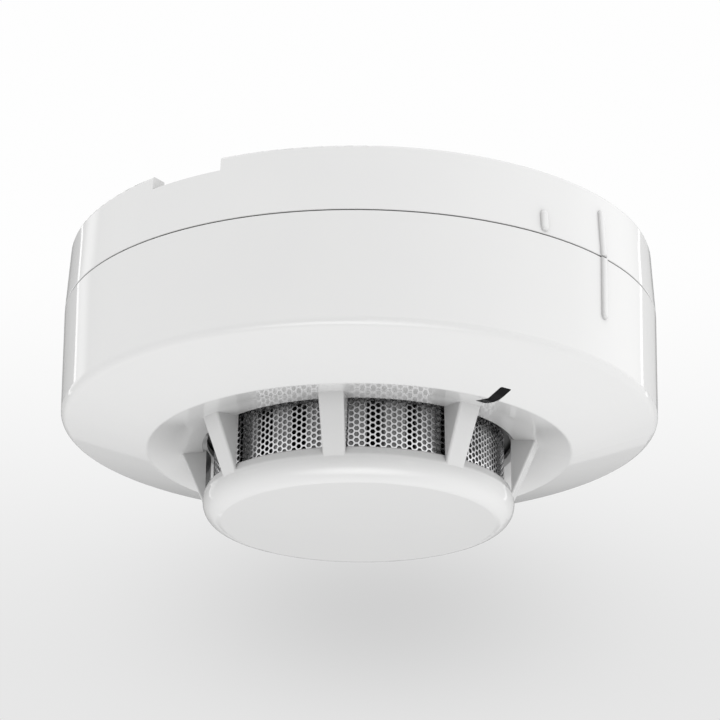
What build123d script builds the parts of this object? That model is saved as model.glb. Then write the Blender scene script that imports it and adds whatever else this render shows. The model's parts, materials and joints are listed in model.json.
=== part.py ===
"""Ceiling smoke detector: a twist-lock head hanging from a mounting base.

Millimetres and degrees. The origin is the middle of the base's ceiling side, +Z points up into
the ceiling, and everything else hangs below it, so heights are negative. Plan angles count from
+X, anticlockwise seen from above. The head is drawn locked in its base.
"""
from build123d import *
import os
from math import atan2, cos, degrees, hypot, radians, sin

os.makedirs("parts", exist_ok=True)

# ---------------------------------------------------------------- outer shape
SEAM_RADIUS = 50.0           # widest point, where head and base meet
BACK_RADIUS = 49.4           # at the ceiling: the base wall has moulding draft
BASE_BOTTOM = -11.03
HEAD_TOP = -11.18
SEAM_ROUND = 0.15            # edges either side of the seam
CORNER_RADIUS = 49.75        # foot of the head's wall
CORNER_Z = -29.4
CORNER_ROUND = 1.35
RIM_RADIUS = 35.4            # lowest ring of the sloped face, around the recess
RIM_Z = -33.85
RIM_ROUND = 1.0
RECESS_BEND_RADIUS = 30.0    # the recess climbs from its rim and then runs nearly level
RECESS_BEND_Z = -33.05
RECESS_BEND_ROUND = 15.0
BEVEL_RADIUS = 26.2          # the recess ends in a narrow bevel around the smoke opening
BEVEL_Z = -32.91
HOLE_RADIUS = 25.4
HOLE_Z = -32.4
HOLE_EDGE = 0.85             # height of the opening's wall above the bevel
COVER_INNER_RADIUS = 47.3
COVER_SKIN = 1.7

CAP_LIP_RADIUS = 25.3
CAP_WALL_RADIUS = 25.8
CAP_INNER_RADIUS = 24.5
CAP_TOP = -40.6
CAP_SHOULDER = -42.0
CAP_LIP_ROUND = 0.4
CAP_SHOULDER_ROUND = 1.0
CAP_BOTTOM = -45.8
CAP_ROUND = 3.1
CAP_FLOOR = -44.0
CAP_FLOOR_ROUND = 1.0

RIB_COUNT = 8
FIRST_RIB_ANGLE = -8.8
RIB_INNER_RADIUS = 25.6
RIB_TOP = -32.2
RIB_TOP_RADIUS = 30.2
RIB_TOP_WIDTH = 4.15
RIB_ANKLE_RADIUS = 25.75     # where the rib's outer edge turns to run into the cap
RIB_ANKLE = -42.4
RIB_FOOT_RADIUS = 25.1       # the foot ends inside the cap's wall
RIB_FOOT_BACK_RADIUS = 24.6
RIB_FOOT = -43.6
RIB_FOOT_WIDTH = 3.55
RIB_BLEND = 6.0
RIB_EDGE_ROUND = 0.4

# ---------------------------------------------------------------- alignment marks and window
LOCKED_ANGLE = -40.0
ENTRY_ANGLE = -55.4
MARK_WIDTH = 1.35
MARK_RELIEF = 0.58
LONG_MARK_TOP = -3.0
LONG_MARK_BOTTOM = -21.6
SHORT_MARK_TOP = -7.0
SHORT_MARK_BOTTOM = -10.6

WINDOW_ANGLE = FIRST_RIB_ANGLE - 45.0
WINDOW_WIDTH = 2.1
WINDOW_OUTER_RADIUS = 38.6
WINDOW_INNER_RADIUS = 32.2
WINDOW_CORNER = 0.3

# ---------------------------------------------------------------- mounting base
BASE_INNER_RADIUS = 46.6
PLATE_TOP = -2.4
PLATE_BOTTOM = -4.4
CABLE_HOLE_RADIUS = 11.0
CABLE_COLLAR_RADIUS = 13.5
SLOT_CENTRE = 30.0
SLOT_LENGTH = 14.0
SLOT_WIDTH = 4.2
SLOT_PAD_LENGTH = 20.0
SLOT_PAD_WIDTH = 10.0
NOTCH_ANGLE = -124.0
NOTCH_WIDTH = 13.3
NOTCH_DEPTH = 2.3

# ---------------------------------------------------------------- bayonet
BAYONET_ANGLES = (15.0, 135.0, 255.0)
LEDGE_RADIUS = 44.2
LEDGE_TOP = -8.8
LEDGE_BOTTOM = -10.6
LEDGE_SPAN = 16.0
LUG_SPAN = 13.0
LUG_RADIUS = 46.25
LUG_TOP = -7.0
LUG_BOTTOM = -8.7
STOP_SPAN = 1.4
SPIGOT_RADIUS = 43.9
SPIGOT_INNER_RADIUS = 41.9
SPIGOT_TOP = -6.2

# ---------------------------------------------------------------- wiring terminals and contacts
TERMINAL_ANGLES = (40.0, 130.0, 220.0, 310.0)
TERMINAL_RADIUS = 27.5
CONTACT_LEAD = 28.0          # the contact point lies this far round from its terminal
CONTACT_RADIUS = 36.0
BOSS_SIZE = 9.5
BOSS_BOTTOM = -6.4
NUT_SIZE = 6.0
NUT_HEIGHT = 2.0
STRIP_WIDTH = 4.0
STRIP_THICKNESS = 0.5
CONTACT_LOW = -8.95
CONTACT_FLAT = 6.5           # straight part of the strip, past its terminal
CONTACT_TAIL = 4.0           # and behind it
CLAMP_SIZE = 7.0
CLAMP_THICKNESS = 0.8
CLAMP_TAB = 0.4
TERMINAL_THREAD_RADIUS = 1.7
TERMINAL_HEAD_RADIUS = 3.0
TERMINAL_HEAD_HEIGHT = 2.1
TERMINAL_TIP = -1.8
CROSS_LENGTH = 3.8           # driver slot in a terminal screw
CROSS_WIDTH = 0.8
CROSS_DEPTH = 1.2

# ---------------------------------------------------------------- head, from the chassis down
CHASSIS_TOP = -12.6
CHASSIS_BOTTOM = -14.2
CHASSIS_RADIUS = 47.1
PAD_TOP = -9.6
PAD_INNER_RADIUS = 33.2
PAD_OUTER_RADIUS = 40.0
PAD_START = -9.0
PAD_END = 7.0
BLADE_THICKNESS = 0.6
RIVET_ANGLE = -5.0
RIVET_CIRCLE = 38.3
RIVET_RADIUS = 0.9
RIVET_HEAD_RADIUS = 1.4
RIVET_HEAD_HEIGHT = 0.5
SCREW_ANGLES = (110.0, 230.0, 350.0)
SCREW_CIRCLE = 39.0
SCREW_RADIUS = 1.25
SCREW_BOSS_RADIUS = 2.6
SCREW_LENGTH = 9.0
SCREW_HEAD_RADIUS = 2.3
SCREW_HEAD_HEIGHT = 1.8
BOARD_POST_CIRCLE = 30.0
BOARD_POST_RADIUS = 2.0
BOARD_TOP = -16.0
BOARD_BOTTOM = -17.6
BOARD_RADIUS = 40.0

CHAMBER_RADIUS = 23.6
CHAMBER_FLOOR_TOP = -30.6
CHAMBER_FLOOR_BOTTOM = -32.2
CHAMBER_FLANGE_RADIUS = 28.5
POST_COUNT = 24              # upright posts that the mesh wraps around
POST_SPAN = 8.2
POST_LEAN = 1.5              # the gaps between posts slant by this much
HOLDER_RADIUS = 23.85
HOLDER_INNER_RADIUS = 22.5
HOOP_HEIGHT = 0.8
COLLAR_OVERLAP = 0.25
LABYRINTH_RADIUS = 22.3
VANE_TOP = -33.1
VANE_BOTTOM = -41.5
LID_BOTTOM = -42.7
SCREEN_OUTER_RADIUS = 24.15
SCREEN_THICKNESS = 0.2
SCREEN_TOP = -31.0           # the mesh runs up out of sight behind the recess
OPTIC_Z = -37.2              # the light beam's height
OPTIC_RADIUS = 2.5           # 5 mm emitter and receiver
OPTIC_FACE = 7.5             # from the axis to where the dome starts
OPTIC_LENGTH = 6.0
CRADLE_MIDDLE = 9.75
CRADLE_LENGTH = 5.5
EMITTER_ANGLE = 200.0
RECEIVER_ANGLE = 320.0
LEAD_CIRCLE = 13.75
LEAD_OFFSET = 1.27
SHIELD_BOTTOM = OPTIC_Z - OPTIC_RADIUS - 0.8

cone_slope = (RIM_Z - CORNER_Z) / (RIM_RADIUS - CORNER_RADIUS)
recess_slope = (RECESS_BEND_Z - RIM_Z) / (RECESS_BEND_RADIUS - RIM_RADIUS)


# ---------------------------------------------------------------- shared shapes
def turned(angle, height=0.0):
    """Horizontal plane at a height, its X axis turned to a plan angle."""
    return Plane.XY.offset(height).rotated((0, 0, angle))


def upright(angle):
    """Vertical plane through the axis: local X is the radius, local Y the height."""
    outward = (cos(radians(angle)), sin(radians(angle)), 0)
    sideways = (sin(radians(angle)), -cos(radians(angle)), 0)
    return Plane(origin=(0, 0, 0), x_dir=outward, z_dir=sideways)


def facing(angle, radius):
    """Vertical plane square to a radius: local X runs round the part, local Y is the height."""
    outward = (cos(radians(angle)), sin(radians(angle)), 0)
    around = (-sin(radians(angle)), cos(radians(angle)), 0)
    foot = (radius * outward[0], radius * outward[1], 0)
    return Plane(origin=foot, x_dir=around, z_dir=outward)


def spot(radius, angle):
    """Plan position at a radius and angle."""
    return (radius * cos(radians(angle)), radius * sin(radians(angle)))


def arc_band(inner, outer, start, end, bottom, top):
    """Part of a ring between two radii, two plan angles and two heights."""
    with BuildPart() as band:
        with BuildSketch(upright(start)):
            with Locations(((inner + outer) / 2, (bottom + top) / 2)):
                Rectangle(outer - inner, top - bottom)
        revolve(axis=Axis.Z, revolution_arc=end - start)
    return band.part


def raised_mark(angle, top, bottom, upper_edge, lower_edge):
    """Bar with round ends that stands proud of a drafted wall, between two (radius, height) edges."""
    with BuildPart() as mark:
        with BuildSketch(facing(angle, BACK_RADIUS - 2)):
            with Locations((0, (top + bottom) / 2)):
                SlotOverall(top - bottom, MARK_WIDTH, rotation=90)
        extrude(amount=4)
        with BuildSketch(upright(angle - 5)):
            with BuildLine():
                Polyline(
                    (upper_edge[0] - 1, upper_edge[1]),
                    (upper_edge[0] + MARK_RELIEF, upper_edge[1]),
                    (lower_edge[0] + MARK_RELIEF, lower_edge[1]),
                    (lower_edge[0] - 1, lower_edge[1]),
                    close=True,
                )
            make_face()
        revolve(axis=Axis.Z, revolution_arc=10, mode=Mode.INTERSECT)
        crown = mark.faces().sort_by(lambda face: hypot(face.center().X, face.center().Y))[-1]
        fillet(crown.edges(), MARK_RELIEF * 0.85)
    return mark.part


def finish(piece, name):
    """Give a finished piece its name and write it."""
    piece.label = name
    export_step(piece, f"parts/{name}.step")


# ---------------------------------------------------------------- mounting base
with BuildPart() as mounting_base:
    with BuildSketch(upright(0)) as base_profile:
        with BuildLine():
            Polyline(
                (CABLE_HOLE_RADIUS, 0),
                (CABLE_COLLAR_RADIUS, 0),
                (CABLE_COLLAR_RADIUS, PLATE_TOP),
                (BASE_INNER_RADIUS, PLATE_TOP),
                (BASE_INNER_RADIUS, 0),
                (BACK_RADIUS, 0),
                (SEAM_RADIUS, BASE_BOTTOM),
                (BASE_INNER_RADIUS, BASE_BOTTOM),
                (BASE_INNER_RADIUS, PLATE_BOTTOM),
                (CABLE_HOLE_RADIUS, PLATE_BOTTOM),
                close=True,
            )
        make_face()
        fillet(base_profile.vertices().sort_by_distance((BACK_RADIUS, 0))[0], 0.5)
        fillet(base_profile.vertices().sort_by_distance((SEAM_RADIUS, BASE_BOTTOM))[0], SEAM_ROUND)
        fillet(base_profile.vertices().sort_by_distance((BASE_INNER_RADIUS, PLATE_BOTTOM))[0], 0.8)
    revolve(axis=Axis.Z)

    # pads around the fixing slots, level with the ceiling side of the rim
    with BuildSketch(Plane.XY.offset(PLATE_TOP)):
        with Locations((SLOT_CENTRE, 0), (-SLOT_CENTRE, 0)):
            RectangleRounded(SLOT_PAD_LENGTH, SLOT_PAD_WIDTH, 2)
    extrude(amount=-PLATE_TOP)

    # stiffening ribs on the back, just short of the ceiling
    for angle in (90, 270):
        with BuildSketch(turned(angle, PLATE_TOP)):
            with Locations(((CABLE_COLLAR_RADIUS + BASE_INNER_RADIUS) / 2, 0)):
                Rectangle(BASE_INNER_RADIUS - CABLE_COLLAR_RADIUS + 1, 1.5)
        extrude(amount=-PLATE_TOP - 0.3)

    # terminal bosses under the plate
    for angle in TERMINAL_ANGLES:
        with BuildSketch(turned(angle, BOSS_BOTTOM)):
            with Locations((TERMINAL_RADIUS, 0)):
                RectangleRounded(BOSS_SIZE, BOSS_SIZE, 1)
        extrude(amount=PLATE_BOTTOM - BOSS_BOTTOM)

    # bayonet ledges, each with a stop where the lug comes to rest and one at the entry side
    for angle in BAYONET_ANGLES:
        add(arc_band(LEDGE_RADIUS, BASE_INNER_RADIUS + 0.4, angle - LEDGE_SPAN / 2,
                     angle + LEDGE_SPAN / 2, LEDGE_BOTTOM, LEDGE_TOP))
        locked_stop = angle + LUG_SPAN / 2 + 0.3
        add(arc_band(LEDGE_RADIUS, BASE_INNER_RADIUS + 0.4, locked_stop,
                     locked_stop + STOP_SPAN, LEDGE_TOP - 0.2, LUG_TOP + 0.4))
        entry_stop = angle + ENTRY_ANGLE - LOCKED_ANGLE - LUG_SPAN / 2 - 0.3
        add(arc_band(LEDGE_RADIUS, BASE_INNER_RADIUS + 0.4, entry_stop - STOP_SPAN,
                     entry_stop, LEDGE_BOTTOM, LUG_TOP + 0.4))

    # alignment marks
    wall_edges = ((BACK_RADIUS, -0.6), (SEAM_RADIUS, BASE_BOTTOM))
    add(raised_mark(LOCKED_ANGLE, LONG_MARK_TOP, LONG_MARK_BOTTOM, *wall_edges))
    add(raised_mark(ENTRY_ANGLE, SHORT_MARK_TOP, SHORT_MARK_BOTTOM, *wall_edges))

    # cable notch through the rim, fixing slots, terminal holes and nut pockets
    with BuildSketch(turned(NOTCH_ANGLE, -NOTCH_DEPTH)):
        with Locations(((BASE_INNER_RADIUS + SEAM_RADIUS) / 2, 0)):
            Rectangle(8, NOTCH_WIDTH)
    extrude(amount=NOTCH_DEPTH + 1, mode=Mode.SUBTRACT)
    with BuildSketch(Plane.XY.offset(PLATE_BOTTOM)):
        with Locations((SLOT_CENTRE, 0), (-SLOT_CENTRE, 0)):
            SlotOverall(SLOT_LENGTH, SLOT_WIDTH)
    extrude(amount=-PLATE_BOTTOM, mode=Mode.SUBTRACT)
    for angle in TERMINAL_ANGLES:
        with BuildSketch(turned(angle, BOSS_BOTTOM)):
            with Locations((TERMINAL_RADIUS, 0)):
                Rectangle(NUT_SIZE + 0.1, NUT_SIZE + 0.1)
        extrude(amount=NUT_HEIGHT, mode=Mode.SUBTRACT)
        with BuildSketch(turned(angle, PLATE_BOTTOM)):
            with Locations((TERMINAL_RADIUS, 0)):
                Circle(TERMINAL_THREAD_RADIUS + 0.4)
        extrude(amount=PLATE_TOP - PLATE_BOTTOM, mode=Mode.SUBTRACT)
finish(mounting_base.part, "mounting_base")

# ---------------------------------------------------------------- wiring terminals
with BuildPart() as terminal_nuts:
    for angle in TERMINAL_ANGLES:
        with BuildSketch(turned(angle, BOSS_BOTTOM)):
            with Locations((TERMINAL_RADIUS, 0)):
                RectangleRounded(NUT_SIZE, NUT_SIZE, 0.4)
                Circle(TERMINAL_THREAD_RADIUS + 0.05, mode=Mode.SUBTRACT)
        extrude(amount=NUT_HEIGHT)
finish(terminal_nuts.part, "terminal_nuts")

# the strip runs straight from its terminal to the point where it presses on the head's blade
reach_x = CONTACT_RADIUS * cos(radians(CONTACT_LEAD)) - TERMINAL_RADIUS
reach_y = CONTACT_RADIUS * sin(radians(CONTACT_LEAD))
strip_reach = hypot(reach_x, reach_y)
strip_turn = degrees(atan2(reach_y, reach_x))
strip_under = BOSS_BOTTOM - STRIP_THICKNESS
clamp_under = strip_under - CLAMP_THICKNESS
head_under = clamp_under - TERMINAL_HEAD_HEIGHT

for number, angle in enumerate(TERMINAL_ANGLES, start=1):
    terminal_x, terminal_y = spot(TERMINAL_RADIUS, angle)
    along = angle + strip_turn
    ahead = (cos(radians(along)), sin(radians(along)), 0)
    sideways = (sin(radians(along)), -cos(radians(along)), 0)
    strip_side = Plane(origin=(terminal_x, terminal_y, 0), x_dir=ahead, z_dir=sideways)
    level = Plane(origin=(terminal_x, terminal_y, 0), x_dir=ahead, z_dir=(0, 0, 1))

    with BuildPart() as contact_spring:
        with BuildSketch(strip_side):
            with BuildLine():
                FilletPolyline(
                    (-CONTACT_TAIL, strip_under),
                    (CONTACT_FLAT, strip_under),
                    (strip_reach, CONTACT_LOW),
                    (strip_reach + 2.2, CONTACT_LOW + 1.3),
                    radius=1.0,
                )
                offset(amount=STRIP_THICKNESS, side=Side.LEFT)
            make_face()
        extrude(amount=STRIP_WIDTH / 2, both=True)
        with BuildSketch(level.offset(strip_under - 1)):
            Circle(TERMINAL_THREAD_RADIUS + 0.2)
        extrude(amount=2, mode=Mode.SUBTRACT)
    finish(contact_spring.part, f"contact_spring_{number}")

    with BuildPart() as terminal_clamp:
        with BuildSketch(level.offset(clamp_under)):
            RectangleRounded(CLAMP_SIZE, CLAMP_SIZE, 0.8)
            Circle(TERMINAL_THREAD_RADIUS + 0.1, mode=Mode.SUBTRACT)
        extrude(amount=CLAMP_THICKNESS - 0.05)
        # two tabs beside the strip keep the clamp square to it
        with BuildSketch(level.offset(strip_under - 0.1)):
            with Locations((0, STRIP_WIDTH / 2 + 0.7), (0, -STRIP_WIDTH / 2 - 0.7)):
                Rectangle(CLAMP_SIZE - 2, 0.9)
        extrude(amount=CLAMP_TAB)
    finish(terminal_clamp.part, f"terminal_clamp_{number}")

    with BuildPart() as terminal_screw:
        with BuildSketch(level.offset(head_under)):
            Circle(TERMINAL_HEAD_RADIUS)
        extrude(amount=TERMINAL_HEAD_HEIGHT - 0.05)
        fillet(terminal_screw.edges().group_by(Axis.Z)[0], 0.8)
        with BuildSketch(level.offset(clamp_under - 0.05)):
            Circle(TERMINAL_THREAD_RADIUS)
        extrude(amount=TERMINAL_TIP - clamp_under)
        chamfer(terminal_screw.edges().group_by(Axis.Z)[-1], 0.4)
        with BuildSketch(level.offset(head_under)):
            Rectangle(CROSS_LENGTH, CROSS_WIDTH)
            Rectangle(CROSS_WIDTH, CROSS_LENGTH)
        extrude(amount=CROSS_DEPTH, mode=Mode.SUBTRACT)
    finish(terminal_screw.part, f"terminal_screw_{number}")


# ---------------------------------------------------------------- outer cover
def cone_z(radius):
    """Height of the sloped face at a radius."""
    return CORNER_Z + cone_slope * (radius - CORNER_RADIUS)


def recess_z(radius):
    """Height of the recess face at a radius between its rim and its bend."""
    return RIM_Z + recess_slope * (radius - RIM_RADIUS)


def window_outline():
    """Radial section of the light pipe: flush with the faces outside, a stem up to the lamp."""
    Polyline(
        (WINDOW_INNER_RADIUS, recess_z(WINDOW_INNER_RADIUS)),
        (RIM_RADIUS - 1.2, RIM_Z + 0.12),
        (RIM_RADIUS, RIM_Z + 0.2),
        (RIM_RADIUS + 1.2, cone_z(RIM_RADIUS + 1.2)),
        (WINDOW_OUTER_RADIUS, cone_z(WINDOW_OUTER_RADIUS)),
        (WINDOW_OUTER_RADIUS, cone_z(WINDOW_OUTER_RADIUS) + 2.6),
        (RIM_RADIUS + 1.5, RIM_Z + 4.4),
        (RIM_RADIUS + 1.0, BOARD_BOTTOM - 2.6),
        (RIM_RADIUS - 1.0, BOARD_BOTTOM - 2.6),
        (RIM_RADIUS - 1.5, RIM_Z + 4.4),
        (WINDOW_INNER_RADIUS, RIM_Z + 2.6),
        close=True,
    )


def window_plan():
    """Plan of the light pipe, long side along the radius."""
    with Locations(((WINDOW_INNER_RADIUS + WINDOW_OUTER_RADIUS) / 2, 0)):
        RectangleRounded(WINDOW_OUTER_RADIUS - WINDOW_INNER_RADIUS, WINDOW_WIDTH, WINDOW_CORNER)


def rib(angle):
    """Tapered rib: straight down from the recess, then curving into the cap's wall."""
    with BuildPart() as blade:
        with BuildSketch(upright(angle)) as blade_profile:
            with BuildLine():
                Polyline(
                    (RIB_INNER_RADIUS, RIB_TOP),
                    (RIB_TOP_RADIUS, RIB_TOP),
                    (RIB_ANKLE_RADIUS, RIB_ANKLE),
                    (RIB_FOOT_RADIUS, RIB_FOOT),
                    (RIB_FOOT_BACK_RADIUS, RIB_FOOT),
                    (RIB_FOOT_BACK_RADIUS, CAP_SHOULDER),
                    (RIB_INNER_RADIUS, CAP_SHOULDER),
                    close=True,
                )
            make_face()
            ankle = blade_profile.vertices().sort_by_distance((RIB_ANKLE_RADIUS, RIB_ANKLE))[0]
            fillet(ankle, RIB_BLEND)
        extrude(amount=RIB_TOP_WIDTH, both=True)
        with BuildSketch(facing(angle, RIB_FOOT_RADIUS - 1)):
            with BuildLine():
                Polyline(
                    (-RIB_TOP_WIDTH / 2, RIB_TOP),
                    (RIB_TOP_WIDTH / 2, RIB_TOP),
                    (RIB_FOOT_WIDTH / 2, RIB_FOOT),
                    (-RIB_FOOT_WIDTH / 2, RIB_FOOT),
                    close=True,
                )
            make_face()
        extrude(amount=10, mode=Mode.INTERSECT)
        fillet(blade.edges().filter_by(is_outer_edge), RIB_EDGE_ROUND)
    return blade.part


def is_outer_edge(edge):
    """True for the upright edges along a rib's outer face."""
    span = edge.bounding_box().size.Z
    middle = edge.center()
    if middle.Z > CAP_SHOULDER:
        back_radius = RIB_INNER_RADIUS + 0.1
    else:
        back_radius = RIB_FOOT_BACK_RADIUS + 0.2
    return span > 0.5 and hypot(middle.X, middle.Y) > back_radius


with BuildPart() as outer_cover:
    with BuildSketch(upright(0)) as shell_profile:
        with BuildLine():
            Polyline(
                (COVER_INNER_RADIUS, HEAD_TOP),
                (SEAM_RADIUS, HEAD_TOP),
                (CORNER_RADIUS, CORNER_Z),
                (RIM_RADIUS, RIM_Z),
                (RECESS_BEND_RADIUS, RECESS_BEND_Z),
                (BEVEL_RADIUS, BEVEL_Z),
                (HOLE_RADIUS, HOLE_Z),
                (HOLE_RADIUS, HOLE_Z + HOLE_EDGE),
                (RIM_RADIUS, RIM_Z + COVER_SKIN),
                (COVER_INNER_RADIUS, cone_z(COVER_INNER_RADIUS) + COVER_SKIN),
                close=True,
            )
        make_face()
        fillet(shell_profile.vertices().sort_by_distance((SEAM_RADIUS, HEAD_TOP))[0], SEAM_ROUND)
        fillet(shell_profile.vertices().sort_by_distance((CORNER_RADIUS, CORNER_Z))[0], CORNER_ROUND)
        fillet(shell_profile.vertices().sort_by_distance((RIM_RADIUS, RIM_Z))[0], RIM_ROUND)
        bend = shell_profile.vertices().sort_by_distance((RECESS_BEND_RADIUS, RECESS_BEND_Z))[0]
        fillet(bend, RECESS_BEND_ROUND)
    revolve(axis=Axis.Z)

    with BuildSketch(upright(0)) as cap_profile:
        with BuildLine():
            Polyline(
                (CAP_INNER_RADIUS, CAP_TOP),
                (CAP_LIP_RADIUS, CAP_TOP),
                (CAP_WALL_RADIUS, CAP_SHOULDER),
                (CAP_WALL_RADIUS, CAP_BOTTOM),
                (0, CAP_BOTTOM),
                (0, CAP_FLOOR),
                (CAP_INNER_RADIUS, CAP_FLOOR),
                close=True,
            )
        make_face()
        fillet(cap_profile.vertices().sort_by_distance((CAP_LIP_RADIUS, CAP_TOP))[0], CAP_LIP_ROUND)
        shoulder = cap_profile.vertices().sort_by_distance((CAP_WALL_RADIUS, CAP_SHOULDER))[0]
        fillet(shoulder, CAP_SHOULDER_ROUND)
        fillet(cap_profile.vertices().sort_by_distance((CAP_WALL_RADIUS, CAP_BOTTOM))[0], CAP_ROUND)
        floor_corner = cap_profile.vertices().sort_by_distance((CAP_INNER_RADIUS, CAP_FLOOR))[0]
        fillet(floor_corner, CAP_FLOOR_ROUND)
    revolve(axis=Axis.Z)

    # ribs hang the cap from the recess
    for step in range(RIB_COUNT):
        add(rib(FIRST_RIB_ANGLE + step * 360 / RIB_COUNT))

    # bosses for the screws from the chassis
    with BuildSketch(Plane.XY.offset(CHASSIS_BOTTOM)):
        with Locations(*[spot(SCREW_CIRCLE, angle) for angle in SCREW_ANGLES]):
            Circle(SCREW_BOSS_RADIUS)
    extrude(amount=cone_z(SCREW_CIRCLE + SCREW_BOSS_RADIUS) + COVER_SKIN / 2 - CHASSIS_BOTTOM)
    with BuildSketch(Plane.XY.offset(CHASSIS_BOTTOM)):
        with Locations(*[spot(SCREW_CIRCLE, angle) for angle in SCREW_ANGLES]):
            Circle(SCREW_RADIUS + 0.05)
    extrude(amount=-SCREW_LENGTH, mode=Mode.SUBTRACT)

    add(raised_mark(LOCKED_ANGLE, LONG_MARK_TOP, LONG_MARK_BOTTOM,
                    (SEAM_RADIUS, HEAD_TOP), (CORNER_RADIUS, CORNER_Z)))

    # the light pipe's slot
    with BuildSketch(turned(WINDOW_ANGLE, RIM_Z - 2)):
        window_plan()
    extrude(amount=6, mode=Mode.SUBTRACT)
finish(outer_cover.part, "outer_cover")

with BuildPart() as light_pipe:
    with BuildSketch(upright(WINDOW_ANGLE)):
        with BuildLine():
            window_outline()
        make_face()
    extrude(amount=WINDOW_WIDTH / 2, both=True)
    with BuildSketch(turned(WINDOW_ANGLE, RIM_Z - 2)):
        window_plan()
    extrude(amount=BOARD_BOTTOM - RIM_Z + 2, mode=Mode.INTERSECT)
finish(light_pipe.part, "light_pipe")

with BuildPart() as insect_screen:
    with BuildSketch(Plane.XY.offset(LID_BOTTOM)):
        Circle(SCREEN_OUTER_RADIUS)
        Circle(SCREEN_OUTER_RADIUS - SCREEN_THICKNESS, mode=Mode.SUBTRACT)
    extrude(amount=SCREEN_TOP - LID_BOTTOM)
finish(insect_screen.part, "insect_screen")

# ---------------------------------------------------------------- rear chassis and contacts
blade_angles = [angle + CONTACT_LEAD for angle in TERMINAL_ANGLES]
rivet_spots = [spot(RIVET_CIRCLE, angle + RIVET_ANGLE) for angle in blade_angles]
screw_spots = [spot(SCREW_CIRCLE, angle) for angle in SCREW_ANGLES]
post_spots = [spot(BOARD_POST_CIRCLE, angle) for angle in (45, 135, 225, 315)]
blade_top = PAD_TOP + BLADE_THICKNESS

with BuildPart() as rear_chassis:
    with BuildSketch(Plane.XY.offset(CHASSIS_BOTTOM)):
        Circle(CHASSIS_RADIUS)
    extrude(amount=CHASSIS_TOP - CHASSIS_BOTTOM)
    with BuildSketch(Plane.XY.offset(CHASSIS_TOP)):
        Circle(SPIGOT_RADIUS)
        Circle(SPIGOT_INNER_RADIUS, mode=Mode.SUBTRACT)
    extrude(amount=SPIGOT_TOP - CHASSIS_TOP)
    chamfer(rear_chassis.edges().group_by(Axis.Z)[-1], 0.4)
    for angle in BAYONET_ANGLES:
        add(arc_band(SPIGOT_RADIUS - 0.4, LUG_RADIUS, angle - LUG_SPAN / 2,
                     angle + LUG_SPAN / 2, LUG_BOTTOM, LUG_TOP))
    for angle in blade_angles:
        add(arc_band(PAD_INNER_RADIUS, PAD_OUTER_RADIUS, angle + PAD_START,
                     angle + PAD_END, CHASSIS_TOP - 0.2, PAD_TOP))
    # posts that space the circuit board
    with BuildSketch(Plane.XY.offset(CHASSIS_BOTTOM)):
        with Locations(*post_spots):
            Circle(BOARD_POST_RADIUS)
    extrude(amount=BOARD_TOP - CHASSIS_BOTTOM)
    # raised ring in the middle of the back
    with BuildSketch(Plane.XY.offset(CHASSIS_TOP)):
        Circle(18.0)
        Circle(16.8, mode=Mode.SUBTRACT)
    extrude(amount=0.8)
    with BuildSketch(Plane.XY.offset(CHASSIS_BOTTOM)):
        with Locations(*screw_spots):
            Circle(SCREW_RADIUS + 0.25)
        with Locations(*rivet_spots):
            Circle(RIVET_RADIUS + 0.1)
    extrude(amount=PAD_TOP - CHASSIS_BOTTOM, mode=Mode.SUBTRACT)
finish(rear_chassis.part, "rear_chassis")

for number, angle in enumerate(blade_angles, start=1):
    with BuildPart() as contact_blade:
        add(arc_band(PAD_INNER_RADIUS + 0.3, PAD_OUTER_RADIUS - 0.3, angle + PAD_START + 0.5,
                     angle + PAD_END - 0.5, PAD_TOP, blade_top))
        with BuildSketch(Plane.XY.offset(PAD_TOP)):
            with Locations(spot(RIVET_CIRCLE, angle + RIVET_ANGLE)):
                Circle(RIVET_RADIUS + 0.1)
        extrude(amount=BLADE_THICKNESS, mode=Mode.SUBTRACT)
    finish(contact_blade.part, f"contact_blade_{number}")

with BuildPart() as contact_rivets:
    with BuildSketch(Plane.XY.offset(blade_top)):
        with Locations(*rivet_spots):
            Circle(RIVET_HEAD_RADIUS)
    extrude(amount=RIVET_HEAD_HEIGHT)
    fillet(contact_rivets.edges().group_by(Axis.Z)[-1], 0.3)
    with BuildSketch(Plane.XY.offset(blade_top)):
        with Locations(*rivet_spots):
            Circle(RIVET_RADIUS)
    extrude(amount=BOARD_BOTTOM - 0.6 - blade_top)
finish(contact_rivets.part, "contact_rivets")

with BuildPart() as cover_screws:
    with BuildSketch(Plane.XY.offset(CHASSIS_TOP)):
        with Locations(*screw_spots):
            Circle(SCREW_HEAD_RADIUS)
    extrude(amount=SCREW_HEAD_HEIGHT)
    fillet(cover_screws.edges().group_by(Axis.Z)[-1], 0.6)
    with BuildSketch(Plane.XY.offset(CHASSIS_TOP)):
        with Locations(*screw_spots):
            Circle(SCREW_RADIUS)
    extrude(amount=-SCREW_LENGTH)
    with BuildSketch(Plane.XY.offset(CHASSIS_TOP + SCREW_HEAD_HEIGHT)):
        with Locations(*screw_spots):
            Rectangle(2.6, 0.6)
            Rectangle(0.6, 2.6)
    extrude(amount=-1.0, mode=Mode.SUBTRACT)
finish(cover_screws.part, "cover_screws")

# ---------------------------------------------------------------- circuit board and its parts
with BuildPart() as circuit_board:
    with BuildSketch(Plane.XY.offset(BOARD_BOTTOM)):
        Circle(BOARD_RADIUS)
        with Locations(*screw_spots):
            Circle(SCREW_BOSS_RADIUS + 0.5, mode=Mode.SUBTRACT)
        with Locations(*rivet_spots):
            Circle(RIVET_RADIUS + 0.1, mode=Mode.SUBTRACT)
    extrude(amount=BOARD_TOP - BOARD_BOTTOM)
finish(circuit_board.part, "circuit_board")


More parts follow.
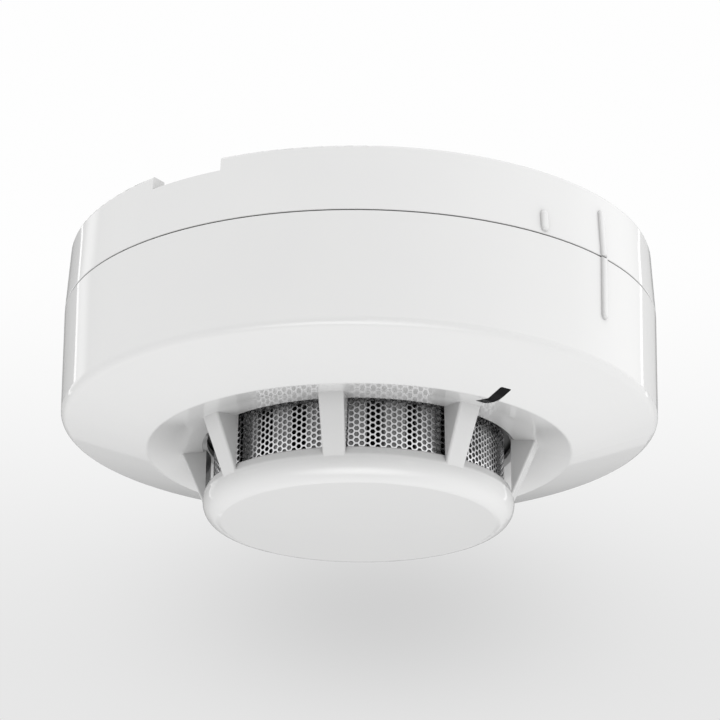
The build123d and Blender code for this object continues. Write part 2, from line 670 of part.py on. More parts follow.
def chip_package(radius, angle, length, width, height, leads, pitch):
    """Moulded package with gull-wing leads along both long sides, under the board."""
    with BuildPart() as package:
        with BuildSketch(turned(angle, BOARD_BOTTOM - height)):
            with Locations((radius, 0)):
                Rectangle(width, length)
        extrude(amount=height - 0.1)
        chamfer(package.edges().group_by(Axis.Z)[0], 0.15)
        with BuildSketch(turned(angle, BOARD_BOTTOM - 0.5)):
            with Locations((radius, 0)):
                with GridLocations(width + 0.6, pitch, 2, leads):
                    Rectangle(0.9, pitch * 0.4)
        extrude(amount=0.5)
    return package.part


def chip_row(places, length, width, height):
    """Small leadless parts under the board, at (radius, angle) places."""
    with BuildPart() as row:
        for radius, angle in places:
            with BuildSketch(turned(angle, BOARD_BOTTOM - height)):
                with Locations((radius, 0)):
                    Rectangle(width, length)
            extrude(amount=height)
    return row.part


finish(chip_package(30.5, 90, 6.5, 4.4, 1.2, 8, 0.65), "microcontroller")
finish(chip_package(30.5, 205, 5.0, 4.0, 1.6, 4, 1.27), "amplifier_chip")
finish(chip_row([(33.5, 75), (33.5, 79), (33.5, 100), (33.5, 104), (31, 186), (31, 224)],
                1.3, 2.0, 0.6), "chip_resistors")
finish(chip_row([(28, 76), (28, 105), (35, 197), (35, 213), (30, 330)],
                1.6, 2.2, 1.1), "chip_capacitors")

with BuildPart() as storage_capacitor:
    with BuildSketch(turned(160, BOARD_BOTTOM)):
        with Locations((31, 0)):
            Circle(3.15)
    extrude(amount=-7.5)
    fillet(storage_capacitor.edges().group_by(Axis.Z)[0], 0.5)
    fillet(storage_capacitor.edges().group_by(Axis.Z)[-1], 0.3)
finish(storage_capacitor.part, "storage_capacitor")

with BuildPart() as surge_suppressor:
    with BuildSketch(turned(135, BOARD_BOTTOM - 2.4)):
        with Locations((32, 0)):
            Rectangle(3.6, 4.4)
    extrude(amount=2.3)
    chamfer(surge_suppressor.edges().group_by(Axis.Z)[0], 0.3)
    with BuildSketch(turned(135, BOARD_BOTTOM - 0.5)):
        with Locations((32, 0)):
            Rectangle(2.0, 5.6)
    extrude(amount=0.5)
finish(surge_suppressor.part, "surge_suppressor")

with BuildPart() as reed_switch:
    reed_side = facing(290, 34)
    with BuildSketch(Plane(reed_side.origin, x_dir=reed_side.z_dir, z_dir=reed_side.x_dir)):
        with Locations((0, -(BOARD_BOTTOM - 1.8))):
            Circle(1.1)
    extrude(amount=6, both=True)
finish(reed_switch.part, "reed_switch")

with BuildPart() as alarm_led:
    with BuildSketch(turned(WINDOW_ANGLE, BOARD_BOTTOM - 1.9)):
        with Locations((RIM_RADIUS, 0)):
            Rectangle(2.0, 1.4)
    extrude(amount=1.9)
finish(alarm_led.part, "alarm_led")

# ---------------------------------------------------------------- optical chamber
with BuildPart() as chamber_base:
    with BuildSketch(upright(0)):
        with BuildLine():
            Polyline(
                (0, CHAMBER_FLOOR_BOTTOM),
                (CHAMBER_RADIUS, CHAMBER_FLOOR_BOTTOM),
                (CHAMBER_RADIUS, CHAMBER_FLOOR_TOP - 0.3),
                (CHAMBER_FLANGE_RADIUS, CHAMBER_FLOOR_TOP - 0.3),
                (CHAMBER_FLANGE_RADIUS, CHAMBER_FLOOR_TOP + 0.9),
                (CHAMBER_RADIUS, CHAMBER_FLOOR_TOP + 0.9),
                (CHAMBER_RADIUS, BOARD_BOTTOM - 0.1),
                (CHAMBER_RADIUS - 1.5, BOARD_BOTTOM - 0.1),
                (CHAMBER_RADIUS - 1.5, CHAMBER_FLOOR_TOP),
                (0, CHAMBER_FLOOR_TOP),
                close=True,
            )
        make_face()
    revolve(axis=Axis.Z)
    # cradles for the emitter and the receiver, under the floor, and holes for their leads
    for angle in (EMITTER_ANGLE, RECEIVER_ANGLE):
        with BuildSketch(turned(angle, OPTIC_Z)):
            with Locations((CRADLE_MIDDLE, 0)):
                Rectangle(CRADLE_LENGTH, 7.4)
        extrude(amount=CHAMBER_FLOOR_BOTTOM - OPTIC_Z)
        with BuildSketch(facing(angle, 6.0)):
            with Locations((0, OPTIC_Z)):
                Circle(OPTIC_RADIUS + 0.1)
        extrude(amount=8, mode=Mode.SUBTRACT)
        with BuildSketch(turned(angle, CHAMBER_FLOOR_BOTTOM)):
            with Locations((LEAD_CIRCLE, LEAD_OFFSET), (LEAD_CIRCLE, -LEAD_OFFSET)):
                Rectangle(0.9, 0.9)
        extrude(amount=CHAMBER_FLOOR_TOP - CHAMBER_FLOOR_BOTTOM, mode=Mode.SUBTRACT)
finish(chamber_base.part, "chamber_base")


def optic(angle):
    """5 mm domed emitter or receiver lying in its cradle, its dome towards the axis."""
    with BuildPart() as body:
        with BuildSketch(facing(angle, OPTIC_FACE)):
            with Locations((0, OPTIC_Z)):
                Circle(OPTIC_RADIUS)
        extrude(amount=OPTIC_LENGTH)
        with Locations(Location((*spot(OPTIC_FACE, angle), OPTIC_Z))):
            Sphere(OPTIC_RADIUS)
        with BuildSketch(facing(angle, 12.6)):
            with Locations((0, OPTIC_Z)):
                Circle(OPTIC_RADIUS + 0.4)
        extrude(amount=0.9)
        # two leads rise behind the collar to the circuit board
        with BuildSketch(turned(angle, OPTIC_Z - 0.25)):
            with Locations((LEAD_CIRCLE, LEAD_OFFSET), (LEAD_CIRCLE, -LEAD_OFFSET)):
                Rectangle(0.5, 0.5)
        extrude(amount=BOARD_BOTTOM - OPTIC_Z + 0.25)
    return body.part


finish(optic(EMITTER_ANGLE), "infrared_emitter")
finish(optic(RECEIVER_ANGLE), "photodiode")

with BuildPart() as photodiode_shield:
    with BuildSketch(turned(RECEIVER_ANGLE, SHIELD_BOTTOM)):
        with Locations((CRADLE_MIDDLE, 0)):
            Rectangle(CRADLE_LENGTH, 8.2)
    extrude(amount=0.3)
    for side in (-1, 1):
        with BuildSketch(turned(RECEIVER_ANGLE, SHIELD_BOTTOM)):
            with Locations((CRADLE_MIDDLE, side * 3.95)):
                Rectangle(CRADLE_LENGTH, 0.3)
        extrude(amount=6.0)
finish(photodiode_shield.part, "photodiode_shield")

# posts on a hoop carry the mesh; the gaps between them line up with the ribs
with BuildPart() as screen_holder:
    with BuildSketch(Plane.XY.offset(VANE_BOTTOM)):
        Circle(HOLDER_RADIUS)
        Circle(HOLDER_INNER_RADIUS, mode=Mode.SUBTRACT)
    extrude(amount=HOOP_HEIGHT)
    for step in range(POST_COUNT):
        post_angle = FIRST_RIB_ANGLE + (step + 0.5) * 360 / POST_COUNT
        with BuildSketch(Plane.XY.offset(VANE_BOTTOM)):
            with BuildLine():
                Polyline(
                    spot(HOLDER_RADIUS, post_angle - POST_SPAN / 2),
                    spot(HOLDER_RADIUS, post_angle + POST_SPAN / 2),
                    spot(HOLDER_INNER_RADIUS, post_angle + POST_SPAN / 2 - POST_LEAN),
                    spot(HOLDER_INNER_RADIUS, post_angle - POST_SPAN / 2 - POST_LEAN),
                    close=True,
                )
            make_face()
        extrude(amount=CHAMBER_FLOOR_BOTTOM - VANE_BOTTOM)
    # thin collar that joins the posts at the top, around the chamber's wall
    with BuildSketch(Plane.XY.offset(CHAMBER_FLOOR_BOTTOM - COLLAR_OVERLAP)):
        Circle(HOLDER_RADIUS)
        Circle(CHAMBER_RADIUS + 0.05, mode=Mode.SUBTRACT)
    extrude(amount=SCREEN_TOP - CHAMBER_FLOOR_BOTTOM + COLLAR_OVERLAP)
finish(screen_holder.part, "screen_holder")

with BuildPart() as labyrinth:
    with BuildSketch(Plane.XY.offset(VANE_TOP)):
        Circle(LABYRINTH_RADIUS)
        Circle(15.0, mode=Mode.SUBTRACT)
    extrude(amount=CHAMBER_FLOOR_BOTTOM - VANE_TOP)
    # bent vanes let air round two corners but stop light
    for step in range(POST_COUNT):
        vane_angle = FIRST_RIB_ANGLE + step * 360 / POST_COUNT
        with BuildSketch(turned(vane_angle, VANE_BOTTOM)):
            with BuildLine():
                Polyline((16.0, 0.2), (18.9, -1.7), (21.6, 0.9))
                offset(amount=0.8, side=Side.LEFT)
            make_face()
        extrude(amount=VANE_TOP - VANE_BOTTOM)
finish(labyrinth.part, "labyrinth")

with BuildPart() as chamber_lid:
    with BuildSketch(Plane.XY.offset(LID_BOTTOM)):
        Circle(CHAMBER_RADIUS)
    extrude(amount=VANE_BOTTOM - LID_BOTTOM)
    chamfer(chamber_lid.edges().group_by(Axis.Z)[0], 0.4)
finish(chamber_lid.part, "chamber_lid")
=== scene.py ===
"""Looks of the ceiling smoke detector: materials, the perforated screen, studio and camera."""

import json
from math import cos, pi, radians, sin, sqrt

import bpy
from mathutils import Matrix, Vector


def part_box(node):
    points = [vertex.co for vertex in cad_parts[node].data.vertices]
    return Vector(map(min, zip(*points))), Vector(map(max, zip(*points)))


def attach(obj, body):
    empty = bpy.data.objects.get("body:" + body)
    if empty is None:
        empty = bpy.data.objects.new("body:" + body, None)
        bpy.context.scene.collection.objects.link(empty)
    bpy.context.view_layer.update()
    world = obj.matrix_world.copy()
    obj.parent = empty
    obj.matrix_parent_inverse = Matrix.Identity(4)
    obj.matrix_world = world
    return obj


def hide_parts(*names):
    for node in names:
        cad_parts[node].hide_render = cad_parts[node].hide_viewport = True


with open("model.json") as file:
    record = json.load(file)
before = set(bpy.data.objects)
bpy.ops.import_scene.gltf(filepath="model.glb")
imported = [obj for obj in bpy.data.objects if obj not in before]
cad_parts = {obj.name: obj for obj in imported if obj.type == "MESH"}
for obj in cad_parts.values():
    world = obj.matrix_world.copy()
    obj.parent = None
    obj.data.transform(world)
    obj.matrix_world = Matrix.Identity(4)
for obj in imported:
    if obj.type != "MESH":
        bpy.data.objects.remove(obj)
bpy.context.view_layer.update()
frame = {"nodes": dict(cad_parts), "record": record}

MM = 0.001
nodes = frame["nodes"]

COLOUR_GRAIN = 60            # noise repeats per metre: colour drift of a moulding
SHEEN_GRAIN = 300            # and of its roughness
METAL_GRAIN = 250
PAINTED_SHADE_REACH = 25 * MM     # how far a neighbouring surface still casts painted shade on a moulding


# ---------------------------------------------------------------- node helpers
def new_material(name):
    """Empty node material with its Principled shader and output."""
    material = bpy.data.materials.new(name)
    material.use_nodes = True
    tree = material.node_tree
    shader = tree.nodes["Principled BSDF"]
    return material, tree, shader


def object_noise(tree, scale, detail=3.0, stretch=(1, 1, 1)):
    """Noise in the piece's own metres."""
    place = tree.nodes.new("ShaderNodeTexCoord")
    mapping = tree.nodes.new("ShaderNodeMapping")
    mapping.inputs["Scale"].default_value = stretch
    noise = tree.nodes.new("ShaderNodeTexNoise")
    noise.inputs["Scale"].default_value = scale
    noise.inputs["Detail"].default_value = detail
    noise.inputs["Roughness"].default_value = 0.55
    tree.links.new(place.outputs["Object"], mapping.inputs["Vector"])
    tree.links.new(mapping.outputs["Vector"], noise.inputs["Vector"])
    return noise


def spread_value(tree, source, low, high):
    """Maps a 0 to 1 signal onto a range."""
    ranged = tree.nodes.new("ShaderNodeMapRange")
    ranged.inputs["To Min"].default_value = low
    ranged.inputs["To Max"].default_value = high
    tree.links.new(source, ranged.inputs["Value"])
    return ranged.outputs["Result"]


def two_tones(tree, source, dark, light):
    """Colour that drifts between two tones."""
    mix = tree.nodes.new("ShaderNodeMix")
    mix.data_type = "RGBA"
    mix.inputs["A"].default_value = (*dark, 1)
    mix.inputs["B"].default_value = (*light, 1)
    tree.links.new(source, mix.inputs["Factor"])
    return mix.outputs["Result"]


def calculate(tree, operation, first, second=None):
    """Math node on two signals or numbers."""
    node = tree.nodes.new("ShaderNodeMath")
    node.operation = operation
    for socket, value in zip(node.inputs, (first, second)):
        if value is None:
            continue
        if isinstance(value, (int, float)):
            socket.default_value = value
        else:
            tree.links.new(value, socket)
    return node.outputs["Value"]


def sum_of(tree, *terms):
    """Adds signals and numbers."""
    total = terms[0]
    for term in terms[1:]:
        total = calculate(tree, "ADD", total, term)
    return total


def shade_recesses(tree, colour, darkest):
    """Painted shade: darkens a colour where nearby surfaces crowd in."""
    occlusion = tree.nodes.new("ShaderNodeAmbientOcclusion")
    occlusion.inputs["Distance"].default_value = PAINTED_SHADE_REACH
    occlusion.samples = 8
    level = spread_value(tree, occlusion.outputs["AO"], darkest, 1.0)
    shade = tree.nodes.new("ShaderNodeVectorMath")
    shade.operation = "SCALE"
    tree.links.new(colour, shade.inputs[0])
    tree.links.new(level, shade.inputs["Scale"])
    return shade.outputs["Vector"]


def add_bump(tree, shader, heights, distance):
    """Small relief on the surface, in metres."""
    bump = tree.nodes.new("ShaderNodeBump")
    bump.inputs["Distance"].default_value = distance
    bump.inputs["Strength"].default_value = 1.0
    tree.links.new(heights, bump.inputs["Height"])
    tree.links.new(bump.outputs["Normal"], shader.inputs["Normal"])


def moulded_plastic(name, dark, light, rough, grain_scale, grain_depth,
                    specular=0.5, painted_shade_keep=1.0):
    """Moulded plastic: colour drift, roughness that varies a little, fine surface grain.

    It can carry painted shade in recesses: the last argument is the share of its colour that it
    keeps deep in one.
    """
    material, tree, shader = new_material(name)
    drift = object_noise(tree, COLOUR_GRAIN)
    colour = two_tones(tree, drift.outputs["Fac"], dark, light)
    # painted shade in recesses, from ambient occlusion
    if painted_shade_keep < 1:
        colour = shade_recesses(tree, colour, painted_shade_keep)
    tree.links.new(colour, shader.inputs["Base Color"])
    patches = object_noise(tree, SHEEN_GRAIN, detail=2)
    tree.links.new(spread_value(tree, patches.outputs["Fac"], *rough), shader.inputs["Roughness"])
    grain = object_noise(tree, grain_scale, detail=2)
    add_bump(tree, shader, grain.outputs["Fac"], grain_depth)
    shader.inputs["IOR"].default_value = 1.5
    shader.inputs["Specular IOR Level"].default_value = specular
    return material


def metal(name, dark, light, rough, stretch, grain_scale, grain_depth):
    """Rolled or plated metal with a directional grain."""
    material, tree, shader = new_material(name)
    drift = object_noise(tree, METAL_GRAIN, stretch=stretch)
    tree.links.new(two_tones(tree, drift.outputs["Fac"], dark, light), shader.inputs["Base Color"])
    tree.links.new(spread_value(tree, drift.outputs["Fac"], *rough), shader.inputs["Roughness"])
    grain = object_noise(tree, grain_scale, stretch=stretch)
    add_bump(tree, shader, grain.outputs["Fac"], grain_depth)
    shader.inputs["Metallic"].default_value = 1.0
    return material


# ---------------------------------------------------------------- materials, one per slot
materials = {
    # the white housing's colour carries painted shade in its recesses
    "white_plastic": moulded_plastic("white_gloss", (0.70, 0.70, 0.70), (0.725, 0.725, 0.72),
                                     (0.03, 0.06), 900, 0.000001, painted_shade_keep=0.45),
    "chassis_plastic": moulded_plastic("chassis_satin", (0.66, 0.66, 0.64), (0.73, 0.73, 0.71),
                                       (0.35, 0.5), 2500, 0.00001),
    "black_plastic": moulded_plastic("chamber_black", (0.012, 0.012, 0.012), (0.025, 0.025, 0.026),
                                     (0.35, 0.55), 3000, 0.00001),
    "grey_plastic": moulded_plastic("holder_grey", (0.22, 0.22, 0.22), (0.26, 0.26, 0.26),
                                    (0.3, 0.45), 2500, 0.000006),
    "steel_mesh": metal("etched_steel", (0.62, 0.62, 0.63), (0.78, 0.78, 0.79),
                        (0.14, 0.26), (1, 1, 6), 4000, 0.000003),
    "contact_strip": metal("contact_brass", (0.70, 0.52, 0.26), (0.86, 0.68, 0.38),
                           (0.22, 0.38), (1, 8, 1), 3000, 0.000005),
    "plated_steel": metal("zinc_plate", (0.55, 0.56, 0.57), (0.70, 0.70, 0.70),
                          (0.25, 0.42), (1, 1, 1), 3500, 0.000006),
    "tin_plate": metal("tin_plate", (0.50, 0.51, 0.52), (0.64, 0.65, 0.66),
                       (0.28, 0.45), (6, 1, 1), 2500, 0.000006),
    "board": moulded_plastic("solder_resist", (0.01, 0.10, 0.035), (0.02, 0.17, 0.06),
                             (0.2, 0.35), 1200, 0.00001),
    "chip_package": moulded_plastic("chip_epoxy", (0.012, 0.012, 0.013), (0.03, 0.03, 0.032),
                                    (0.45, 0.65), 6000, 0.000008),
    "ceramic": moulded_plastic("fired_ceramic", (0.34, 0.26, 0.17), (0.46, 0.37, 0.26),
                               (0.3, 0.5), 5000, 0.000006),
    "capacitor_sleeve": moulded_plastic("sleeve", (0.012, 0.014, 0.03), (0.02, 0.024, 0.05),
                                        (0.12, 0.25), 2000, 0.000006),
    "clear_glass": moulded_plastic("glass_tube", (0.45, 0.58, 0.52), (0.55, 0.68, 0.60),
                                   (0.02, 0.06), 500, 0.000002),
    "smoked_lens": moulded_plastic("smoked_window", (0.004, 0.004, 0.0045), (0.010, 0.010, 0.011),
                                   (0.22, 0.32), 1500, 0.000003, specular=0.02),
    "lamp": moulded_plastic("red_lamp", (0.55, 0.02, 0.015), (0.70, 0.05, 0.03),
                            (0.05, 0.1), 1500, 0.000003),
    "infrared_lens": moulded_plastic("infrared_epoxy", (0.012, 0.006, 0.018), (0.03, 0.014, 0.04),
                                     (0.05, 0.1), 1500, 0.000003),
}

for subpart in frame["record"]["subparts"]:
    mesh = nodes[subpart["node"]].data
    mesh.materials.clear()
    mesh.materials.append(materials[subpart["material_slot"]])


# ---------------------------------------------------------------- perforated screen
HOLE_PITCH = 0.985 * MM      # from one hole to the next, up a column
HOLE_SIZE = 0.76 * MM        # across the flats
HOLE_CORNERS = 6
HOLE_SOFTENING = 0.05        # share by which a hole's corners are drawn in
RING_POINTS = 2 * HOLE_CORNERS
SHEET_THICKNESS = 0.18 * MM
HEM_LOW = 0.7 * MM           # plain ring at the tube's lower end
HEM_HIGH = 0.5 * MM
HEM_RELIEF = 0.02 * MM
WELD_DISTANCE = 0.01 * MM


def build_screen():
    """Honeycomb sheet rolled into a tube: hexagonal holes in staggered columns, solid hems."""
    low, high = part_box("insect_screen")
    outer = high.x
    inner = outer - SHEET_THICKNESS
    column_step = HOLE_PITCH * sqrt(3) / 2
    columns = 2 * round(pi * outer / column_step)
    turn = 2 * pi / columns
    rows = int((high.z - low.z) / HOLE_PITCH) + 1
    points = []
    faces = []

    def ring_points(angle, height, size, radius, soften=0.0):
        """Hexagon drawn on the tube, with a point at each corner and each flat."""
        start = len(points)
        for step in range(RING_POINTS):
            spin = 2 * pi * step / RING_POINTS
            corner = step % 2 == 0
            reach = size / 2 / (cos(pi / HOLE_CORNERS) if corner else 1.0)
            reach *= (1 - soften) if corner else 1.0
            around = angle + reach * cos(spin) / radius
            points.append((radius * cos(around), radius * sin(around), height + reach * sin(spin)))
        return start

    def band(first, second):
        """Faces between two rings of points."""
        for step in range(RING_POINTS):
            following = (step + 1) % RING_POINTS
            faces.append((first + step, first + following, second + following, second + step))

    for column in range(columns):
        angle = column * turn
        shift = (column % 2) * HOLE_PITCH / 2
        for row in range(rows):
            height = low.z + row * HOLE_PITCH + shift
            if height > high.z or height < low.z:
                continue
            outer_cell = ring_points(angle, height, HOLE_PITCH, outer)
            outer_hole = ring_points(angle, height, HOLE_SIZE, outer, HOLE_SOFTENING)
            inner_hole = ring_points(angle, height, HOLE_SIZE, inner, HOLE_SOFTENING)
            inner_cell = ring_points(angle, height, HOLE_PITCH, inner)
            band(outer_cell, outer_hole)
            band(outer_hole, inner_hole)
            band(inner_hole, inner_cell)

    def hem(bottom, top):
        """Plain ring at one end of the tube, a little thicker than the sheet."""
        start = len(points)
        outside = outer + HEM_RELIEF
        inside = inner - HEM_RELIEF
        for step in range(columns):
            around = step * turn
            for radius, height in ((outside, bottom), (outside, top),
                                   (inside, top), (inside, bottom)):
                points.append((radius * cos(around), radius * sin(around), height))
        for step in range(columns):
            following = (step + 1) % columns
            for side in range(4):
                after = (side + 1) % 4
                faces.append((start + 4 * step + side, start + 4 * following + side,
                              start + 4 * following + after, start + 4 * step + after))

    hem(low.z - HEM_RELIEF, low.z + HEM_LOW)
    hem(high.z - HEM_HIGH, high.z)

    mesh = bpy.data.meshes.new("screen_mesh")
    mesh.from_pydata(points, [], faces)
    mesh.update()
    screen = bpy.data.objects.new("screen_mesh", mesh)
    bpy.context.scene.collection.objects.link(screen)
    merge = screen.modifiers.new("weld", "WELD")
    merge.merge_threshold = WELD_DISTANCE
    bpy.context.view_layer.objects.active = screen
    with bpy.context.temp_override(object=screen, active_object=screen):
        bpy.ops.object.modifier_apply(modifier="weld")
    mesh.materials.append(materials["steel_mesh"])
    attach(screen, "head")
    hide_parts("insect_screen")


build_screen()

# ---------------------------------------------------------------- studio
FLOOR_Z = -0.45
SHEET_SIZE = 8.0             # floor and backdrop
BACKDROP_Y = 2.0

# sky brightness by direction: x to the right, y away from the camera, z up
SKY_STRENGTH = 1.05
SKY_BASE = 0.80
SKY_BAND = 1.3               # rises with the square of z
SKY_BAND_FALL = 1.1          # and falls again towards straight up and down
SKY_SIDES = 0.25
SKY_RIGHT = 0.13
SKY_FRONT = 0.15
SKY_FRONT_RISE = 0.35
SKY_ABOVE = 0.02

# backdrop paper with painted light and a painted shadow, in its own metres
PAPER_LIGHT_FALLOFF = (0.38, 0.86)    # heights between which its painted light brightens
PAPER_LEVELS = (0.80, 0.99)
# painted shadow low in the middle of the backdrop
SHADOW_POOL_CENTRE = (0.02, 0.474)
SHADOW_POOL_SIZE = (0.2, 0.1)
SHADOW_POOL_DEPTH = 0.18

# cards that only reflections see
CARD_STEPS = 8
CARD_DISTANCE = 1.2
STRIP_DISTANCE = 1.18
PATCH_STEPS = 24
PATCH_DISTANCE = 1.3
COVER_EDGE = 2.0             # a covering patch fades out over a narrower edge


def bare_material(name):
    """Material with nothing but its output node."""
    material = bpy.data.materials.new(name)
    material.use_nodes = True
    tree = material.node_tree
    tree.nodes.clear()
    return material, tree, tree.nodes.new("ShaderNodeOutputMaterial")


def stage_plane(name, matrix, material):
    """Flat studio sheet."""
    half = SHEET_SIZE / 2
    mesh = bpy.data.meshes.new(name)
    mesh.from_pydata([(-half, -half, 0), (half, -half, 0), (half, half, 0), (-half, half, 0)],
                     [], [(0, 1, 2, 3)])
    sheet = bpy.data.objects.new(name, mesh)
    sheet.matrix_world = matrix
    mesh.materials.append(material)
    bpy.context.scene.collection.objects.link(sheet)
    return sheet


def glow_material(name, strength):
    """Evenly lit grey card."""
    material, tree, out = bare_material(name)
    glow = tree.nodes.new("ShaderNodeEmission")
    glow.inputs["Color"].default_value = (1, 1, 1, 1)
    glow.inputs["Strength"].default_value = strength
    tree.links.new(glow.outputs["Emission"], out.inputs["Surface"])
    return material


def patch_material(name, covers):
    """Light with level and weight from its mesh, added to what is behind it or covering it."""
    material, tree, out = bare_material(name)
    weight = tree.nodes.new("ShaderNodeAttribute")
    weight.attribute_name = "weight"
    level = tree.nodes.new("ShaderNodeAttribute")
    level.attribute_name = "level"
    clear = tree.nodes.new("ShaderNodeBsdfTransparent")
    glow = tree.nodes.new("ShaderNodeEmission")
    if covers:
        tree.links.new(level.outputs["Fac"], glow.inputs["Strength"])
        join = tree.nodes.new("ShaderNodeMixShader")
        tree.links.new(weight.outputs["Fac"], join.inputs["Fac"])
        tree.links.new(clear.outputs["BSDF"], join.inputs[1])
        tree.links.new(glow.outputs["Emission"], join.inputs[2])
    else:
        strength = calculate(tree, "MULTIPLY", weight.outputs["Fac"], level.outputs["Fac"])
        tree.links.new(strength, glow.inputs["Strength"])
        join = tree.nodes.new("ShaderNodeAddShader")
        tree.links.new(clear.outputs["BSDF"], join.inputs[0])
        tree.links.new(glow.outputs["Emission"], join.inputs[1])
    tree.links.new(join.outputs["Shader"], out.inputs["Surface"])
    return material


def grid_card(name, points, rows, steps, material):
    """Studio card over a grid of points, hidden from everything but mirror reflections."""
    faces = []
    for row in range(rows):
        for step in range(steps):
            corner = row * (steps + 1) + step
            faces.append((corner, corner + 1, corner + steps + 2, corner + steps + 1))
    mesh = bpy.data.meshes.new(name)
    mesh.from_pydata(points, [], faces)
    mesh.materials.append(material)
    card = bpy.data.objects.new(name, mesh)
    bpy.context.scene.collection.objects.link(card)
    card.visible_camera = False
    card.visible_diffuse = False
    card.visible_shadow = False
    return mesh


def soft_patch(name, bearings, elevations, levels, covers=False):
    """Patch of a sphere around the object that fades out at its edges.

    Bearing 0 is straight behind the object, positive to the right; levels run from the patch's
    lowest elevation to its highest.
    """
    edge = COVER_EDGE if covers else 1.0
    points = []
    weights = []
    strengths = []
    for row in range(PATCH_STEPS + 1):
        climb = row / PATCH_STEPS
        elevation = radians(elevations[0] + (elevations[1] - elevations[0]) * climb)
        for step in range(PATCH_STEPS + 1):
            across = step / PATCH_STEPS
            bearing = radians(bearings[0] + (bearings[1] - bearings[0]) * across)
            points.append((PATCH_DISTANCE * sin(bearing) * cos(elevation),
                           PATCH_DISTANCE * cos(bearing) * cos(elevation),
                           PATCH_DISTANCE * sin(elevation)))
            weights.append(min(1, edge * sin(pi * climb)) * min(1, edge * sin(pi * across)))
            strengths.append(max(0, levels[0] + (levels[1] - levels[0]) * climb))
    mesh = grid_card(name, points, PATCH_STEPS, PATCH_STEPS, patch_material(name, covers))
    mesh.attributes.new("weight", "FLOAT", "POINT").data.foreach_set("value", weights)
    mesh.attributes.new("level", "FLOAT", "POINT").data.foreach_set("value", strengths)


def wall_card(name, rows, distance, strength):
    """Curved upright card around the object, from rows of (height, one bearing, other bearing).

    Bearing 0 is straight behind the object, positive to the right.
    """
    points = []
    for height, first, second in rows:
        for step in range(CARD_STEPS + 1):
            angle = radians(first + (second - first) * step / CARD_STEPS)
            points.append((distance * sin(angle), distance * cos(angle), height))
    grid_card(name, points, len(rows) - 1, CARD_STEPS, glow_material(name, strength))


floor_material = moulded_plastic("pale_floor", (0.74, 0.74, 0.74), (0.78, 0.78, 0.78),
                                 (0.5, 0.6), 40, 0.0001)
floor = stage_plane("floor", Matrix.Translation((0, 0, FLOOR_Z)), floor_material)
floor.visible_diffuse = False
floor.visible_glossy = False
floor.visible_shadow = False


def light_dome():
    """Soft light from all round: brightest high in front and from the sides, dimmer from behind."""
    world = bpy.data.worlds.new("studio")
    world.use_nodes = True
    bpy.context.scene.world = world
    tree = world.node_tree
    place = tree.nodes.new("ShaderNodeTexCoord")
    parts = tree.nodes.new("ShaderNodeSeparateXYZ")
    tree.links.new(place.outputs["Generated"], parts.inputs["Vector"])
    x, y, z = (parts.outputs[axis] for axis in "XYZ")
    z_squared = calculate(tree, "MULTIPLY", z, z)
    x_squared = calculate(tree, "MULTIPLY", x, x)
    y_squared = calculate(tree, "MULTIPLY", y, y)
    bands = calculate(tree, "MULTIPLY", z_squared,
                      calculate(tree, "SUBTRACT", SKY_BAND,
                                calculate(tree, "MULTIPLY", z_squared, SKY_BAND_FALL)))
    sides = calculate(tree, "MULTIPLY", calculate(tree, "SUBTRACT", x_squared, y_squared),
                      SKY_SIDES)
    right_side = calculate(tree, "MULTIPLY", x, SKY_RIGHT)
    front_weight = calculate(tree, "ADD", SKY_FRONT,
                             calculate(tree, "MULTIPLY", z, SKY_FRONT_RISE))
    front = calculate(tree, "MULTIPLY", calculate(tree, "MULTIPLY", y, -1.0), front_weight)
    from_above = calculate(tree, "MULTIPLY", z, SKY_ABOVE)
    level = calculate(tree, "MULTIPLY",
                      sum_of(tree, SKY_BASE, bands, sides, right_side, front, from_above),
                      SKY_STRENGTH)
    shade = tree.nodes.new("ShaderNodeCombineXYZ")
    for axis in "XYZ":
        tree.links.new(level, shade.inputs[axis])
    sky = tree.nodes["Background"]
    tree.links.new(shade.outputs["Vector"], sky.inputs["Color"])
    sky.inputs["Strength"].default_value = 1.0


def backdrop_material():
    """White paper whose painted light falls off towards its foot, with a soft painted shadow low in
    the middle.
    """
    material, tree, out = bare_material("paper")
    place = tree.nodes.new("ShaderNodeTexCoord")
    parts = tree.nodes.new("ShaderNodeSeparateXYZ")
    tree.links.new(place.outputs["Object"], parts.inputs["Vector"])
    light_falloff = tree.nodes.new("ShaderNodeMapRange")
    light_falloff.interpolation_type = "SMOOTHSTEP"
    light_falloff.inputs["From Min"].default_value = PAPER_LIGHT_FALLOFF[0]
    light_falloff.inputs["From Max"].default_value = PAPER_LIGHT_FALLOFF[1]
    light_falloff.inputs["To Min"].default_value = PAPER_LEVELS[0]
    light_falloff.inputs["To Max"].default_value = PAPER_LEVELS[1]
    tree.links.new(parts.outputs["Y"], light_falloff.inputs["Value"])
    across, upward = (
        calculate(tree, "DIVIDE", calculate(tree, "SUBTRACT", parts.outputs[axis], centre), size)
        for axis, centre, size in zip("XY", SHADOW_POOL_CENTRE, SHADOW_POOL_SIZE))
    reach = calculate(tree, "ADD", calculate(tree, "MULTIPLY", across, across),
                      calculate(tree, "MULTIPLY", upward, upward))
    # painted shadow: a soft grey dip in the paper's light
    shadow_pool = calculate(tree, "EXPONENT", calculate(tree, "MULTIPLY", reach, -1.0))
    level = calculate(tree, "SUBTRACT", light_falloff.outputs["Result"],
                      calculate(tree, "MULTIPLY", shadow_pool, SHADOW_POOL_DEPTH))
    shade = tree.nodes.new("ShaderNodeCombineXYZ")
    for axis in "XYZ":
        tree.links.new(level, shade.inputs[axis])
    glow = tree.nodes.new("ShaderNodeEmission")
    tree.links.new(shade.outputs["Vector"], glow.inputs["Color"])
    tree.links.new(glow.outputs["Emission"], out.inputs["Surface"])
    return material


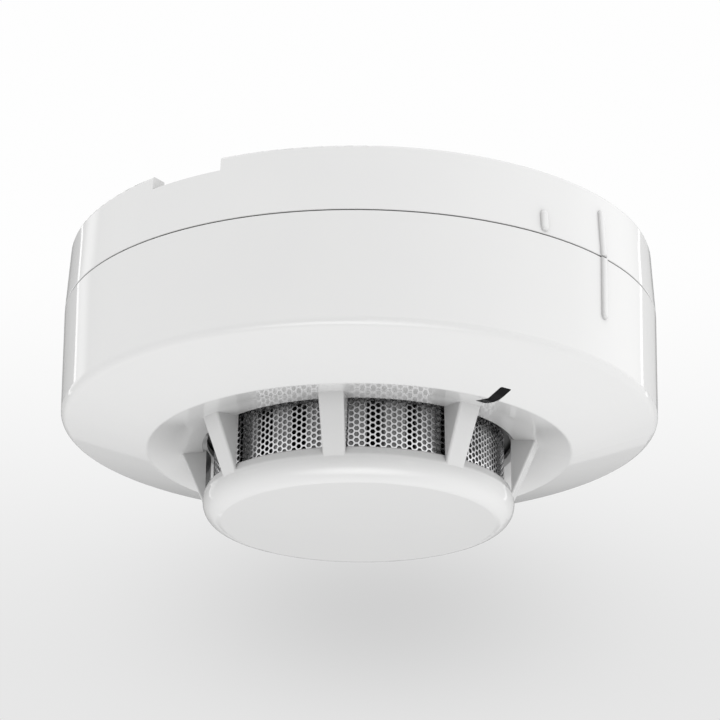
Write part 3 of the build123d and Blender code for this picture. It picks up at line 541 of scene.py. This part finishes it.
light_dome()
backdrop = stage_plane("backdrop",
                       Matrix.Translation((0, BACKDROP_Y, 0))
                       @ Matrix.Rotation(radians(90), 4, "X"),
                       backdrop_material())
backdrop.visible_diffuse = False
backdrop.visible_glossy = False
backdrop.visible_transmission = False
backdrop.visible_shadow = False

# seen only in reflections, along the object's sides and in its underside: each row of a card is
# its height and the bearings of its two ends
wall_card("middle_card", [(-0.2, -21, 21), (1.6, -21, 21)], CARD_DISTANCE, 0.3)
wall_card("left_card", [(-0.2, -43, -21), (0.45, -41, -21), (0.53, -36, -21), (0.55, -31, -21)],
          CARD_DISTANCE, 0.38)
wall_card("left_strip", [(-0.2, -45.5, -43), (0.45, -43.5, -41), (0.53, -38.5, -36),
                         (0.55, -33.5, -31)], STRIP_DISTANCE, 1.8)
wall_card("right_card", [(-0.2, 46, 21), (0.45, 44, 21), (0.53, 39, 21), (0.55, 34, 21)],
          CARD_DISTANCE, 0.58)
wall_card("right_strip", [(-0.2, 48.5, 46), (0.45, 46.5, 44), (0.53, 41.5, 39),
                          (0.55, 36.5, 34)], STRIP_DISTANCE, 2.0)
soft_patch("low_shade", (-14, 14), (-25, -12), (0.98, -0.22), covers=True)
soft_patch("front_glow", (110, 250), (-84, -34), (3.2, 3.2))
soft_patch("left_glow", (-56, -41), (-5, 50), (0.6, 0.6))
soft_patch("right_glow", (40, 95), (-5, 50), (0.4, 0.4))

# ---------------------------------------------------------------- camera
FOCAL_RATIO = 2500 / 720     # focal length over the picture's width
SENSOR_WIDTH = 36.0
CAMERA_PITCH = 20.404
CAMERA_ROLL = 0.587
CAMERA_PLACE = Vector((0.0, -0.39672, -0.16443))

camera_data = bpy.data.cameras.new("camera")
camera_data.sensor_width = SENSOR_WIDTH
camera_data.lens = SENSOR_WIDTH * FOCAL_RATIO
camera_data.clip_start = 0.01
camera_data.clip_end = 50
camera = bpy.data.objects.new("camera", camera_data)
pitch = radians(CAMERA_PITCH)
roll = radians(CAMERA_ROLL)
forward = Vector((0, cos(pitch), sin(pitch)))
level_right = Vector((1, 0, 0))
level_up = level_right.cross(forward)
right = cos(roll) * level_right + sin(roll) * level_up
up = cos(roll) * level_up - sin(roll) * level_right
camera.matrix_world = Matrix((
    (right.x, up.x, -forward.x, CAMERA_PLACE.x),
    (right.y, up.y, -forward.y, CAMERA_PLACE.y),
    (right.z, up.z, -forward.z, CAMERA_PLACE.z),
    (0, 0, 0, 1),
))
bpy.context.scene.collection.objects.link(camera)
bpy.context.scene.camera = camera
bpy.context.scene.view_settings.view_transform = "Standard"
